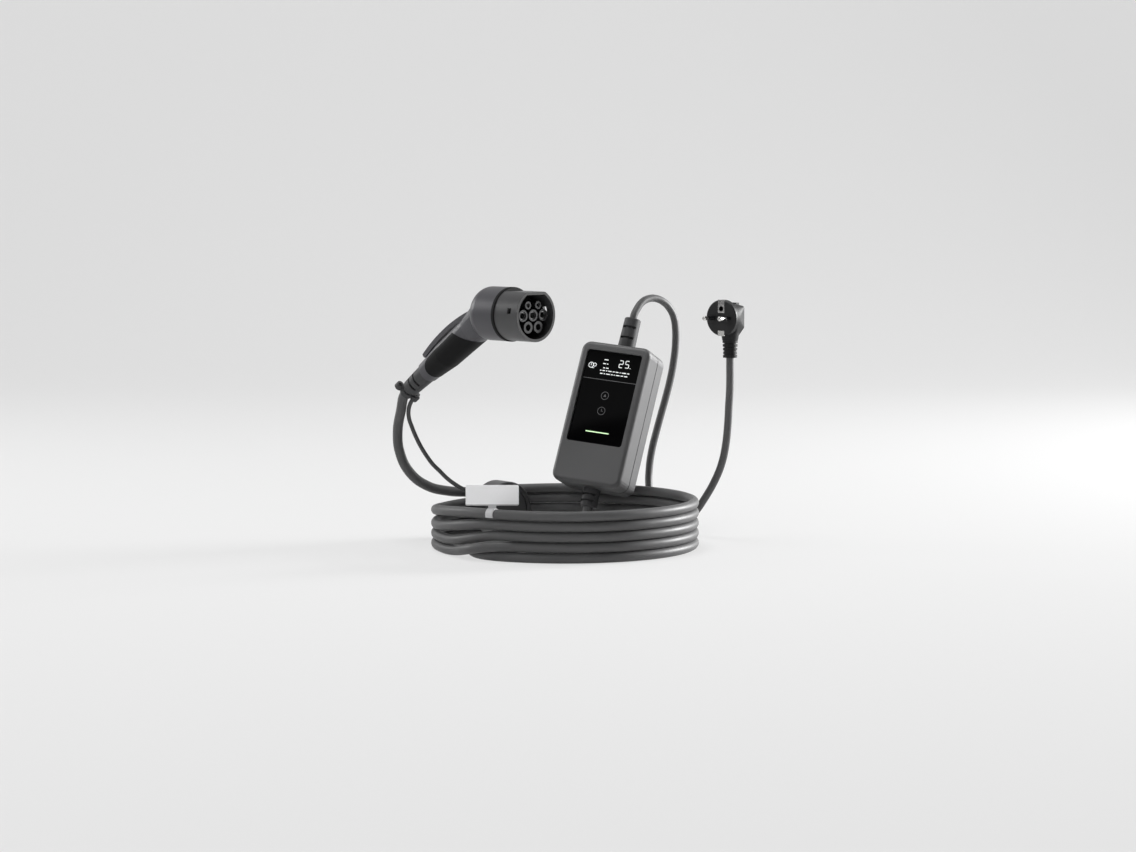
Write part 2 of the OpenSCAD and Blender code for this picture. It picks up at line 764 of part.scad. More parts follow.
module dust_cap() {
    round_r = 3;
    rib_h = 1.2;
    color("dimgray") in_cap() difference() {
        union() {
            forward(cap_floor) rotate_extrude() {
                translate([0, round_r]) square([cap_r, cap_l - round_r]);
                square([cap_r - round_r, cap_l]);
                translate([cap_r - round_r, round_r]) circle(round_r);
            }
            rotate([lug_turn, 0, 0]) translate([lug_x, cap_r - lug_r, 0]) rotate([-90, 0, 0])
                cylinder(r = lug_r, h = lug_l + lug_r);
        }
        forward(cap_floor + cap_wall) cylinder(r = cap_in_r, h = cap_l);
        forward(cap_floor - 1) difference() {
            cylinder(r = cap_r - 6, h = 1 + rib_h);
            cylinder(r = cap_r - 8, h = 3 * rib_h);
        }
    }
}

module cap_seal() {
    bead_r = 1.2;
    color("black") in_cap() forward(cap_floor + cap_wall + bead_r)
        rotate_extrude() translate([cap_in_r - bead_r - fit_gap, 0]) circle(bead_r, $fn = 32);
}

// Mains plug

module at_pins() { for (side = [-1, 1]) translate([0, side * pin_pitch / 2, 0]) children(); }
earth_z = 9.5;
earth_w = 8;
strip_t = 0.8;
pin_tip = 2;
shank_l = 6;
shank_r = pin_d / 2 - 0.5;

module plug_face() {
    color("black") in_plug() difference() {
        union() {
            forward(face_x - face_t) cylinder(d = face_d - 3, h = face_t);
            forward(face_x - 3) cylinder(d = face_d - fit_gap, h = 2);
            forward(face_x - 1) cylinder(d1 = face_d - fit_gap, d2 = face_d - 2, h = 1);
        }
        at_pins() forward(face_x - shank_l) cylinder(r = shank_r + fit_gap, h = shank_l + 1);
        translate([0, 0, earth_z]) forward(face_x - face_t - 1) cylinder(d = earth_d, h = face_t + 2);
        earth_paths(fit_gap);
    }
}

// Room for the earth strips on the face and over its rim
module earth_paths(gap) {
    rim = face_d / 2;
    for (side = [-1, 1]) {
        inner = side > 0 ? 5 : rim - 5.5;
        translate([face_x - strip_t - gap, -earth_w / 2 - gap, side > 0 ? inner - gap : -rim - 3])
            cube([strip_t + gap + 1, earth_w + 2 * gap, rim + 3 - inner + gap]);
    }
}

module plug_body() {
    r = face_d / 2;
    back_x = -12;
    color("black") in_plug() difference() {
        union() {
            forward(face_x - 6) cylinder(r = r, h = 3 - fit_gap);
            forward(face_x - 11) cylinder(r1 = r - 3, r2 = r, h = 5);
            hull() {
                forward(face_x - 12) cylinder(r = r - 3, h = 1.5, $fn = 48);
                for (y = [-8, 8], z = [-10, 9]) translate([back_x + 3, y, z]) sphere(r = 3, $fn = 20);
                for (y = [-6, 6]) translate([-2, y, -19]) rotate([90, 0, 0]) cylinder(r = 3, h = 1, center = true, $fn = 24);
            }
            translate([0, 0, -24]) cylinder(r1 = 8.2, r2 = 9.6, h = 8);
            translate([0, 0, -boot_end]) plug_boot();
            translate([back_x + 3, -5, 8]) cube([6, 10, 7]);
        }
        forward(face_x - face_t - fit_gap) cylinder(d = face_d - 3 + 2 * fit_gap, h = face_t + 2);
        translate([0, 0, earth_z]) forward(face_x - earth_l) cylinder(d = earth_d + 1, h = earth_l);
        at_pins() forward(face_x - shank_l - 5) cylinder(r = shank_r + fit_gap, h = shank_l);
    }
}

// Ribbed strain relief at the foot of the plug
module plug_boot() {
    ribs = 4;
    rib_pitch = 3.9;
    rib_w = 2.5;
    collar_h = 2.6;
    cylinder(r = 6.2, h = boot_end - 22);
    cylinder(r = 7.4, h = collar_h);
    for (k = [0:ribs - 1]) translate([0, 0, collar_h + 1 + k * rib_pitch]) cylinder(r = 7.2 + 0.25 * k, h = rib_w);
}

module line_pins() {
    color("silver") in_plug() at_pins() forward(face_x) {
        translate([0, 0, fit_gap]) cylinder(d = pin_d, h = pin_l - pin_tip - fit_gap);
        translate([0, 0, pin_l - pin_tip]) cylinder(d1 = pin_d, d2 = pin_d - 2.4, h = pin_tip);
        translate([0, 0, -shank_l]) cylinder(r = shank_r, h = shank_l + 1);
    }
}

module earth_contacts() {
    rim = face_d / 2;
    color("silver") in_plug() difference() {
        for (side = [-1, 1]) {
            inner = side > 0 ? 5 : rim - 5.5;
            translate([face_x - strip_t, -earth_w / 2, side > 0 ? inner : -rim])
                cube([strip_t, earth_w, rim - inner]);
        }
        translate([0, 0, earth_z]) forward(face_x - 4) cylinder(d = earth_d + 0.4, h = 8);
    }
}

// Cable tag: a flag on a strap that hugs the top turn
module cable_tag() {
    tag_a = 237;
    band_r = cable_d / 2 + 0.15;
    neck_h = 3.6;
    at = on_coil(tag_a, 0);
    color("white") {
        translate(at) rotate([0, 0, tag_a]) rotate([90, 0, 0]) difference() {
            cylinder(r = band_r + tag_t, h = strap_w, center = true);
            cylinder(r = band_r, h = strap_w + 2, center = true);
            translate([-20, -20 - cable_d * 0.28, -strap_w]) cube([40, 20, 2 * strap_w]);
        }
        translate([at.x - 4, at.y - tag_t / 2, at.z + band_r + 0.3]) cube([8, tag_t, neck_h + 1]);
        translate([at.x, at.y + tag_t / 2, at.z + band_r + neck_h + tag_h / 2]) rotate([90, 0, 0])
            linear_extrude(tag_t) rounded_rect(tag_w, tag_h, 1.5);
    }
}

// Cords

// Turns of the coil between two angles, with the web that ties them to the next level
module turns(from, to, first, last, web_top, web_foot, web) {
    skin = 0.05;
    rotate([0, 0, from]) rotate_extrude(angle = to - from, $fn = 72) intersection() {
        union() {
            for (k = [first:last]) translate([coil_r, turn_z(k)]) circle(r = cable_d / 2 - skin, $fn = 32);
            translate([coil_r - web / 2, turn_z(web_foot)]) square([web, turn_z(web_top) - turn_z(web_foot)]);
        }
        square([coil_d, coil_turns * cable_d]);
    }
}

module cable_coil() {
    low = coil_turns - 1;
    color("black") {
        turns(0, 360, 1, low - 1, 1, low - 1, 4);
        turns(step_a, join_a + 360, 0, 0, 0, 1, 3);
        turns(leave_a, join_a + 360, low, low, low - 1, low, 3);
    }
}

module cable_riser() {
    out = handle_l + handle_gland_l;
    end = on_coil(join_a, 0);
    color("black") cord(concat(
        [handle_point([out, 0, 0]), handle_point([out + 11, 0, 0])],
        riser_route,
        [end - 20 * along_coil(join_a), end]), cable_d, 10);
}

module cable_link() {
    start = on_coil(leave_a, coil_turns - 1);
    low = -box_h / 2 - cable_gland_l;
    color("black") cord(concat(
        [start, start + 9 * along_coil(leave_a)],
        [for (p = link_route) [p.x, p.y, start.z]],
        link_rise,
        [box_point([0, gland_y, low - 6]), box_point([0, gland_y, low])]), cable_d - 2 * coil_flat, 10);
}

module mains_lead() {
    high = box_h / 2 + mains_gland_l;
    color("black") cord(concat(
        [box_point([0, gland_y, high]), box_point([0, gland_y, high + 5])],
        lead_route,
        [plug_at - [0, 0, boot_end + 9], plug_at - [0, 0, boot_end]]), lead_d, 10);
}

module tether() {
    ear = [for (s = [clip_s - 4, clip_s + clip_t + 2])
        handle_point([s, -ear_r * cos(ear_turn), -ear_r * sin(ear_turn)])];
    color("black") cord(concat(
        ear,
        tether_route,
        [lug_point(lug_l + 6), lug_point(lug_l)]), tether_d, 8);
}

front_shell();
rear_shell();
case_seal();
touch_panel();
display_module();
status_light();
main_board();
power_relays();
leakage_sensor();
supply_transformer();
supply_capacitors();
control_chip();
mains_terminal();
output_terminal();
board_screws();
case_screws();
mains_gland();
cable_gland();
handle_shell();
grip_inlay();
spine_strip();
seal_ring();
nose_shell();
contact_carrier();
power_contacts();
signal_contacts();
coding_board();
handle_gland();
tether_clip();
dust_cap();
cap_seal();
plug_body();
plug_face();
line_pins();
earth_contacts();
cable_tag();
cable_coil();
cable_riser();
cable_link();
mains_lead();
tether();
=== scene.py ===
import math
import bpy
from mathutils import Euler, Matrix, Vector


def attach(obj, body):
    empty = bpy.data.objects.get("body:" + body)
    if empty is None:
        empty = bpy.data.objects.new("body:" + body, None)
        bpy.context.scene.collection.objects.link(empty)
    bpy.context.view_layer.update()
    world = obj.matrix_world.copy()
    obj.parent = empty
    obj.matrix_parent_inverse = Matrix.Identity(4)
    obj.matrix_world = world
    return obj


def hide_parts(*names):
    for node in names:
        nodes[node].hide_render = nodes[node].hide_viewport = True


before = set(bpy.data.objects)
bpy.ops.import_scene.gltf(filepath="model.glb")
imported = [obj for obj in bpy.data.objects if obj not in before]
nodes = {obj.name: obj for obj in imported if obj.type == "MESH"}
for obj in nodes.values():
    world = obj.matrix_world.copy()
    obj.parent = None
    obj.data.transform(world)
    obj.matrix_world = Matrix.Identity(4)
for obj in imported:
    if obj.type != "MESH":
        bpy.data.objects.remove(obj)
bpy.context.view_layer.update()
mm = 0.001


# camera at the photo's view
photoView = {
    "lens": 100, "sensor": 36, "target": (3.1, 0, 125.3), "distance": 3250, "elevation": 5.05,
    "near": 0.05, "far": 60,
}


def setCamera(spec):
    tilt = math.radians(spec["elevation"])
    target = Vector(spec["target"]) * mm
    back = Vector((0, -math.cos(tilt), math.sin(tilt)))
    bpy.ops.object.camera_add(location=target + back * spec["distance"] * mm)
    cam = bpy.context.object
    cam.name = "photoCamera"
    cam.rotation_euler = (-back).to_track_quat("-Z", "Y").to_euler()
    cam.data.lens = spec["lens"]
    cam.data.sensor_width = spec["sensor"]
    cam.data.clip_start = spec["near"]
    cam.data.clip_end = spec["far"]
    bpy.context.scene.camera = cam


setCamera(photoView)
print("camera set")


# where the groups of the charger stand, as in the part's source
placing = {
    "boxAt": (37.5, 93, 130.5), "boxTurn": (-20, 5.5, -26),
    "plugAt": (172, 45, 235), "plugYaw": -127,
    "connectorAt": (-54, -85, 245), "connectorYaw": -46, "handleFrom": -30, "handleAngle": 34,
    "capYaw": 127, "capRadius": 29.5,
}


def turned(at, angles):
    turn = Euler([math.radians(a) for a in angles], "XYZ").to_matrix().to_4x4()
    return Matrix.Translation(Vector(at) * mm) @ turn


boxPlace = turned(placing["boxAt"], placing["boxTurn"])
connectorPlace = turned(placing["connectorAt"], (0, 0, placing["connectorYaw"]))
handlePlace = connectorPlace @ turned((placing["handleFrom"], 0, 0), (0, placing["handleAngle"], 180))
plugPlace = turned(placing["plugAt"], (0, 0, placing["plugYaw"]))
capPlace = turned((0, 0, placing["capRadius"]), (0, 0, placing["capYaw"]))


def spot(place, x, y, z):
    return tuple(v / mm for v in place @ (Vector((x, y, z)) * mm))


def nothingSelected():
    if bpy.context.object and bpy.context.object.mode != "OBJECT":
        bpy.ops.object.mode_set(mode="OBJECT")
    bpy.ops.object.select_all(action="DESELECT")


# how finely a cord is drawn between its points and around
cordMesh = {"alongSteps": 5, "roundSteps": 6}


def layCord(name, points, diameter):
    nothingSelected()
    bpy.ops.curve.primitive_bezier_curve_add(location=(0, 0, 0))
    cord = bpy.context.object
    cord.name = name
    line = cord.data.splines[0]
    line.bezier_points.add(len(points) - len(line.bezier_points))
    for knot, p in zip(line.bezier_points, points):
        knot.co = knot.handle_left = knot.handle_right = Vector(p) * mm
        knot.radius = diameter / 2 * mm   # the knots carry the thickness, so the curve's own bounds stay true
    bpy.ops.object.mode_set(mode="EDIT")
    bpy.ops.curve.select_all(action="SELECT")
    bpy.ops.curve.handle_type_set(type="AUTOMATIC")
    bpy.ops.object.mode_set(mode="OBJECT")
    cord.data.resolution_u = cordMesh["alongSteps"]
    cord.data.bevel_depth = 1.0
    cord.data.bevel_resolution = cordMesh["roundSteps"]
    cord.data.use_fill_caps = True
    return cord


# charging cable: down from the connector, round the coil and across the floor to the box
chargingSpec = {
    "diameter": 10.4, "coilRadius": 133, "turns": 5, "stepDegrees": 8, "joinAngle": 120, "leaveAngle": 240,
    # the angle where each turn starts to drop, and over how many degrees
    "drops": ((232, 78), (240, 54), (243.8, 36.5), (244, 36)), "aside": 8, "asideFrom": 250, "asideSpan": 38,
    "glandEnd": 148, "straight": 11, "joinLead": (-83.8, 105.2), "leaveStraight": 9, "floorGap": 0.2,
    "boxGlandEnd": -97.5, "boxStraight": 6, "glandBack": 24.6,
    "riser": [
        (-171, 41, 138), (-175, 49, 115), (-173, 55, 92), (-163, 60, 71), (-146, 68, 56.5), (-125, 80, 49.5),
        (-103, 93, 47)],
    "link": [
        (-83, -101), (-91, -84), (-93, -64), (-88, -46), (-79, -32), (-64, -15), (-48, 4), (-32, 22),
        (-16, 41), (0, 60)],
    "rise": [(10, 71.5, 8), (18.5, 81, 17)],
}


def coilPoints(spec):
    # an upper turn takes longer to drop a level than a lower one, so the slack spreads through the stack,
    # and the last one to drop passes outside the end that leaves
    points = []
    turns = spec["turns"]
    fullTurn = 360
    before = spec["joinAngle"] + fullTurn
    total = fullTurn * (turns - 1) + before - spec["leaveAngle"]
    count = round(total / spec["stepDegrees"])
    for k in range(count + 1):
        gone = total * k / count
        level, inTurn = divmod(gone, fullTurn)
        start, span = spec["drops"][min(int(level), turns - 2)]
        slide = min(1, max(0, (inTurn - before + start) / span))
        depth = level + slide * slide * (3 - 2 * slide)
        z = spec["diameter"] * (turns - min(depth, turns - 1) - 0.5)
        a = math.radians(spec["joinAngle"] - gone)
        radius = spec["coilRadius"]
        if level == turns - 2:
            passed = (inTurn - before + spec["asideFrom"]) / spec["asideSpan"]
            radius += spec["aside"] * math.sin(math.pi * min(1, max(0, passed))) ** 2
        points.append((radius * math.cos(a), radius * math.sin(a), z))
    return points


def chargingRoute(spec):
    wound = coilPoints(spec)
    low = spec["diameter"] * 0.5 + spec["floorGap"]
    leave = math.radians(spec["leaveAngle"])
    lastX, lastY = wound[-1][:2]
    onward = spec["leaveStraight"]
    handleEnd, boxEnd = spec["glandEnd"], spec["boxGlandEnd"]
    down = [spot(handlePlace, s, 0, 0) for s in (handleEnd, handleEnd + spec["straight"])]
    joined = [(*spec["joinLead"], wound[0][2])]
    left = [(lastX + onward * math.sin(leave), lastY - onward * math.cos(leave), low)]
    across = [(x, y, low) for x, y in spec["link"]]
    intoBox = [spot(boxPlace, 0, spec["glandBack"], z) for z in (boxEnd - spec["boxStraight"], boxEnd)]
    return down + spec["riser"] + joined + wound + left + across + spec["rise"] + intoBox


chargingPoints = chargingRoute(chargingSpec)
chargingCable = layCord("chargingCable", chargingPoints, chargingSpec["diameter"])
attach(chargingCable, "root")
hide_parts("cable_riser", "cable_coil", "cable_link")

# mains lead: out of the box's top, down behind it, behind the coil and up to the plug
mainsSpec = {
    "diameter": 8, "glandEnd": 112.5, "glandStraight": 5, "glandBack": 24.6, "bootEnd": 42, "bootStraight": 9,
    "route": [
        (76.5, 148.5, 237), (82, 155, 244.5), (89.5, 163, 248.5), (98, 170.5, 248.5), (106.5, 177, 244.5),
        (113.5, 182.5, 237), (118, 186, 227.5), (120, 187.5, 215), (120, 188, 198), (118, 188.5, 179),
        (114.5, 187.5, 160), (110, 186, 142), (105, 184.5, 124), (99.5, 182.5, 104), (94.5, 180, 84),
        (91.5, 176, 64), (91, 170, 45), (94, 161, 26), (101, 149, 12), (109, 134, 5), (118, 118, 6),
        (128, 102, 13), (138, 87, 26), (148, 74, 43), (157, 63, 61), (164, 55, 80), (168, 50, 100),
        (170, 47, 121), (171, 45.5, 142), (172, 45, 163)],
}


def mainsRoute(spec):
    top, boot = spec["glandEnd"], -spec["bootEnd"]
    outOfBox = [spot(boxPlace, 0, spec["glandBack"], z) for z in (top, top + spec["glandStraight"])]
    intoPlug = [spot(plugPlace, 0, 0, z) for z in (boot - spec["bootStraight"], boot)]
    return outOfBox + spec["route"] + intoPlug


mainsPoints = mainsRoute(mainsSpec)
mainsLead = layCord("mainsLead", mainsPoints, mainsSpec["diameter"])
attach(mainsLead, "root")
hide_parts("mains_lead")

# tether: from the clip's eye to the dust cap's lug
tetherSpec = {
    "diameter": 4.4, "clipAt": 152, "clipDeep": 5, "eyeBack": 4, "eyeOut": 2, "earOut": 10.2, "earTurn": 48,
    "lugX": 104.03, "lugOut": 35.5, "lugStraight": 6, "lugTurn": 25,
    "route": [
        (-162.5, 39, 141), (-163, 43, 131), (-160, 46, 120.5), (-156, 48.5, 110), (-151, 50, 99.5),
        (-145, 51, 89.5), (-138.5, 52, 80.5), (-131, 52.5, 73), (-124, 52, 66), (-116, 51, 60),
        (-108, 51.5, 55), (-100, 55, 51)],
}


def tetherRoute(spec):
    ear, lug = math.radians(spec["earTurn"]), math.radians(spec["lugTurn"])
    side, back = -spec["earOut"] * math.cos(ear), -spec["earOut"] * math.sin(ear)
    eye = (spec["clipAt"] - spec["eyeBack"], spec["clipAt"] + spec["clipDeep"] + spec["eyeOut"])
    start = [spot(handlePlace, s, side, back) for s in eye]
    reach = (spec["lugOut"] + spec["lugStraight"], spec["lugOut"])
    end = [spot(capPlace, spec["lugX"], r * math.cos(lug), r * math.sin(lug)) for r in reach]
    return start + spec["route"] + end


tetherPoints = tetherRoute(tetherSpec)
tetherCord = layCord("tetherCord", tetherPoints, tetherSpec["diameter"])
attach(tetherCord, "root")
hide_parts("tether")
print("cords laid")


# shader groups shared by the finishes
def newGroup(name, inputs, outputs):
    group = bpy.data.node_groups.new(name, "ShaderNodeTree")
    for label, kind, value in inputs:
        sock = group.interface.new_socket(name=label, in_out="INPUT", socket_type=kind)
        if value is not None:
            sock.default_value = value
    for label, kind in outputs:
        group.interface.new_socket(name=label, in_out="OUTPUT", socket_type=kind)
    return group, group.nodes.new("NodeGroupInput"), group.nodes.new("NodeGroupOutput")


def addNode(tree, kind, values=(), **attrs):
    node = tree.nodes.new(kind)
    for key, value in attrs.items():
        setattr(node, key, value)
    for key, value in dict(values).items():
        node.inputs[key].default_value = value
    return node


def makeMouldGrain():
    # fine spark-eroded skin with a slow drift of tone
    group, entry, leave = newGroup("mouldGrain", [
        ("Vector", "NodeSocketVector", None),
        ("Grain Scale", "NodeSocketFloat", 2600.0),
        ("Drift Scale", "NodeSocketFloat", 28.0)],
        [("Tone", "NodeSocketFloat"), ("Height", "NodeSocketFloat")])
    grain = addNode(group, "ShaderNodeTexNoise", {"Detail": 3.0, "Roughness": 0.6})
    drift = addNode(group, "ShaderNodeTexNoise", {"Detail": 2.0, "Roughness": 0.5})
    pits = addNode(group, "ShaderNodeTexVoronoi", feature="F1")
    mixed = addNode(group, "ShaderNodeMix", {"Factor": 0.4})
    blend = addNode(group, "ShaderNodeMix", {"Factor": 0.3})
    links = group.links
    for tex, scale in ((grain, "Grain Scale"), (drift, "Drift Scale"), (pits, "Grain Scale")):
        links.new(entry.outputs["Vector"], tex.inputs["Vector"])
        links.new(entry.outputs[scale], tex.inputs["Scale"])
    links.new(grain.outputs["Fac"], mixed.inputs["A"])
    links.new(pits.outputs["Distance"], mixed.inputs["B"])
    links.new(mixed.outputs["Result"], leave.inputs["Height"])
    links.new(drift.outputs["Fac"], blend.inputs["A"])
    links.new(grain.outputs["Fac"], blend.inputs["B"])
    links.new(blend.outputs["Result"], leave.inputs["Tone"])
    return group


def makeHandlingMarks():
    # faint rubbed patches and dust that settle on anything handled
    group, entry, leave = newGroup("handlingMarks", [
        ("Vector", "NodeSocketVector", None),
        ("Patch Scale", "NodeSocketFloat", 16.0),
        ("Speck Scale", "NodeSocketFloat", 900.0)],
        [("Rub", "NodeSocketFloat"), ("Dust", "NodeSocketFloat")])
    patch = addNode(group, "ShaderNodeTexNoise", {"Detail": 4.0, "Roughness": 0.7, "Distortion": 0.6})
    speck = addNode(group, "ShaderNodeTexNoise", {"Detail": 2.0, "Roughness": 0.5})
    rub = addNode(group, "ShaderNodeMapRange", {"From Min": 0.42, "From Max": 0.7})
    dust = addNode(group, "ShaderNodeMapRange", {"From Min": 0.66, "From Max": 0.78})
    links = group.links
    for tex, scale in ((patch, "Patch Scale"), (speck, "Speck Scale")):
        links.new(entry.outputs["Vector"], tex.inputs["Vector"])
        links.new(entry.outputs[scale], tex.inputs["Scale"])
    links.new(patch.outputs["Fac"], rub.inputs["Value"])
    links.new(speck.outputs["Fac"], dust.inputs["Value"])
    links.new(rub.outputs["Result"], leave.inputs["Rub"])
    links.new(dust.outputs["Result"], leave.inputs["Dust"])
    return group


def makeTurnedLines():
    # fine lines left on drawn or turned metal
    group, entry, leave = newGroup("turnedLines", [
        ("Vector", "NodeSocketVector", None), ("Line Scale", "NodeSocketFloat", 900.0)],
        [("Line", "NodeSocketFloat"), ("Tarnish", "NodeSocketFloat")])
    line = addNode(group, "ShaderNodeTexWave", {"Distortion": 1.4, "Detail": 3.0, "Detail Scale": 2.0},
                   wave_type="BANDS", bands_direction="Z")
    stain = addNode(group, "ShaderNodeTexNoise", {"Scale": 140.0, "Detail": 4.0, "Roughness": 0.6})
    links = group.links
    links.new(entry.outputs["Vector"], line.inputs["Vector"])
    links.new(entry.outputs["Line Scale"], line.inputs["Scale"])
    links.new(entry.outputs["Vector"], stain.inputs["Vector"])
    links.new(line.outputs["Fac"], leave.inputs["Line"])
    links.new(stain.outputs["Fac"], leave.inputs["Tarnish"])
    return group


mouldGrain = makeMouldGrain()
handlingMarks = makeHandlingMarks()
turnedLines = makeTurnedLines()


def startFinish(name):
    mat = bpy.data.materials.new(name)
    mat.use_nodes = True
    tree = mat.node_tree
    tree.nodes.clear()
    shader = tree.nodes.new("ShaderNodeBsdfPrincipled")
    surface = tree.nodes.new("ShaderNodeOutputMaterial")
    coords = tree.nodes.new("ShaderNodeTexCoord")
    tree.links.new(shader.outputs["BSDF"], surface.inputs["Surface"])
    return mat, tree, shader, coords


def useGroup(tree, group, coords, **values):
    node = tree.nodes.new("ShaderNodeGroup")
    node.node_tree = group
    tree.links.new(coords.outputs["Object"], node.inputs["Vector"])
    for key, value in values.items():
        node.inputs[key.replace("_", " ")].default_value = value
    return node


# sockets of a Mix node that mixes colours
mixShare, mixLow, mixHigh, mixResult = 0, 6, 7, 2


def colourMix(tree, mask, low, high):
    # low and high are each a colour, or a socket that gives one
    mix = addNode(tree, "ShaderNodeMix", data_type="RGBA")
    tree.links.new(mask, mix.inputs[mixShare])
    for place, tone in ((mixLow, low), (mixHigh, high)):
        if isinstance(tone, tuple):
            mix.inputs[place].default_value = (*tone, 1)
        else:
            tree.links.new(tone, mix.inputs[place])
    return mix.outputs[mixResult]


def ranged(tree, value, source=(0.0, 1.0), result=(0.0, 1.0)):
    node = addNode(tree, "ShaderNodeMapRange", {
        "From Min": source[0], "From Max": source[1], "To Min": result[0], "To Max": result[1]})
    tree.links.new(value, node.inputs["Value"])
    return node.outputs["Result"]


def alongAxis(tree, coords, axis):
    node = addNode(tree, "ShaderNodeVectorMath", {1: axis}, operation="DOT_PRODUCT")
    tree.links.new(coords.outputs["Object"], node.inputs[0])
    return node.outputs["Value"]


def addBump(tree, shader, height, strength, distance):
    bump = addNode(tree, "ShaderNodeBump", {"Strength": strength, "Distance": distance})
    tree.links.new(height, bump.inputs["Height"])
    tree.links.new(bump.outputs["Normal"], shader.inputs["Normal"])


grainDistance = 0.0002
dustTone = (0.45, 0.44, 0.42)


def plasticFinish(name, dark, light, rough, grain=2600.0, depth=0.12, specular=0.45, rub=0.05, dust=0.02):
    mat, tree, shader, coords = startFinish(name)
    links = tree.links
    skin = useGroup(tree, mouldGrain, coords, Grain_Scale=grain)
    marks = useGroup(tree, handlingMarks, coords)
    base = colourMix(tree, skin.outputs["Tone"], dark, light)
    dustShare = addNode(tree, "ShaderNodeMath", {1: dust}, operation="MULTIPLY")
    links.new(marks.outputs["Dust"], dustShare.inputs[0])
    links.new(colourMix(tree, dustShare.outputs[0], base, dustTone), shader.inputs["Base Color"])
    worn = addNode(tree, "ShaderNodeMath", {1: -rub}, operation="MULTIPLY_ADD")
    links.new(marks.outputs["Rub"], worn.inputs[0])
    links.new(ranged(tree, skin.outputs["Tone"], result=rough), worn.inputs[2])
    links.new(worn.outputs[0], shader.inputs["Roughness"])
    addBump(tree, shader, skin.outputs["Height"], depth, grainDistance)
    shader.inputs["Specular IOR Level"].default_value = specular
    return mat


plasticSpec = {
    "boxShell": {"dark": (0.064, 0.064, 0.065), "light": (0.086, 0.086, 0.088), "rough": (0.42, 0.54)},
    "panelGloss": {
        "dark": (0.0012, 0.0012, 0.0014), "light": (0.0024, 0.0024, 0.0026), "rough": (0.1, 0.16),
        "depth": 0.0, "specular": 0.02, "rub": 0.03, "dust": 0.001},
    "displayGlass": {
        "dark": (0.01, 0.014, 0.016), "light": (0.016, 0.02, 0.022), "rough": (0.15, 0.22), "depth": 0.02},
    "sealRubber": {
        "dark": (0.003, 0.003, 0.0033), "light": (0.006, 0.006, 0.0065), "rough": (0.6, 0.72),
        "specular": 0.15},
    "glandPlastic": {
        "dark": (0.042, 0.042, 0.043), "light": (0.058, 0.058, 0.06), "rough": (0.5, 0.6), "specular": 0.2},
    "headPlastic": {"dark": (0.039, 0.038, 0.044), "light": (0.053, 0.052, 0.059), "rough": (0.36, 0.48)},
    "gripRubber": {
        "dark": (0.003, 0.003, 0.0033), "light": (0.006, 0.006, 0.0065), "rough": (0.52, 0.64),
        "grain": 1500.0, "depth": 0.3, "specular": 0.12},
    "spinePlastic": {"dark": (0.045, 0.044, 0.05), "light": (0.062, 0.061, 0.068), "rough": (0.4, 0.5)},
    "nosePlastic": {
        "dark": (0.037, 0.037, 0.038), "light": (0.051, 0.051, 0.053), "rough": (0.34, 0.46),
        "specular": 0.4},
    "carrierPlastic": {
        "dark": (0.012, 0.012, 0.013), "light": (0.02, 0.02, 0.021), "rough": (0.44, 0.54), "specular": 0.25},
    "plugPlastic": {
        "dark": (0.014, 0.014, 0.0145), "light": (0.022, 0.022, 0.0225), "rough": (0.5, 0.6),
        "specular": 0.15},
    "plugFront": {
        "dark": (0.0105, 0.0105, 0.0108), "light": (0.0165, 0.0165, 0.0168), "rough": (0.46, 0.56),
        "specular": 0.25},
    "cableJacket": {
        "dark": (0.073, 0.073, 0.074), "light": (0.104, 0.104, 0.105), "rough": (0.44, 0.56), "grain": 1800.0,
        "depth": 0.16, "specular": 0.25},
    "tetherRubber": {"dark": (0.045, 0.045, 0.046), "light": (0.065, 0.065, 0.066), "rough": (0.45, 0.55)},
    "boardGreen": {
        "dark": (0.01, 0.07, 0.025), "light": (0.02, 0.12, 0.045), "rough": (0.3, 0.4), "grain": 500.0},
    "relayBlue": {"dark": (0.012, 0.035, 0.16), "light": (0.02, 0.05, 0.22), "rough": (0.35, 0.45)},
    "transformerTape": {"dark": (0.45, 0.3, 0.06), "light": (0.55, 0.38, 0.1), "rough": (0.3, 0.4)},
    "canSleeve": {"dark": (0.03, 0.035, 0.045), "light": (0.05, 0.055, 0.07), "rough": (0.3, 0.4)},
    "terminalGreen": {"dark": (0.02, 0.16, 0.07), "light": (0.03, 0.22, 0.1), "rough": (0.35, 0.45)},
}
finishes = {name: plasticFinish(name, **spec) for name, spec in plasticSpec.items()}

lineBump = {"strength": 0.08, "distance": 0.0001}


def metalFinish(name, bright, dull, rough, lines=900.0):
    mat, tree, shader, coords = startFinish(name)
    links = tree.links
    skin = useGroup(tree, turnedLines, coords, Line_Scale=lines)
    links.new(colourMix(tree, skin.outputs["Tarnish"], bright, dull), shader.inputs["Base Color"])
    links.new(ranged(tree, skin.outputs["Line"], result=rough), shader.inputs["Roughness"])
    addBump(tree, shader, skin.outputs["Line"], **lineBump)
    shader.inputs["Metallic"].default_value = 1.0
    return mat


metalSpec = {
    "coilCopper": {
        "bright": (0.75, 0.32, 0.12), "dull": (0.5, 0.2, 0.08), "rough": (0.3, 0.45), "lines": 1500.0},
    "screwSteel": {"bright": (0.62, 0.62, 0.63), "dull": (0.45, 0.45, 0.46), "rough": (0.25, 0.4)},
    "contactSilver": {"bright": (0.72, 0.72, 0.72), "dull": (0.5, 0.5, 0.5), "rough": (0.18, 0.32)},
    "pinNickel": {"bright": (0.78, 0.77, 0.75), "dull": (0.6, 0.59, 0.57), "rough": (0.14, 0.26)},
}
finishes.update({name: metalFinish(name, **spec) for name, spec in metalSpec.items()})

glowRough = 0.35


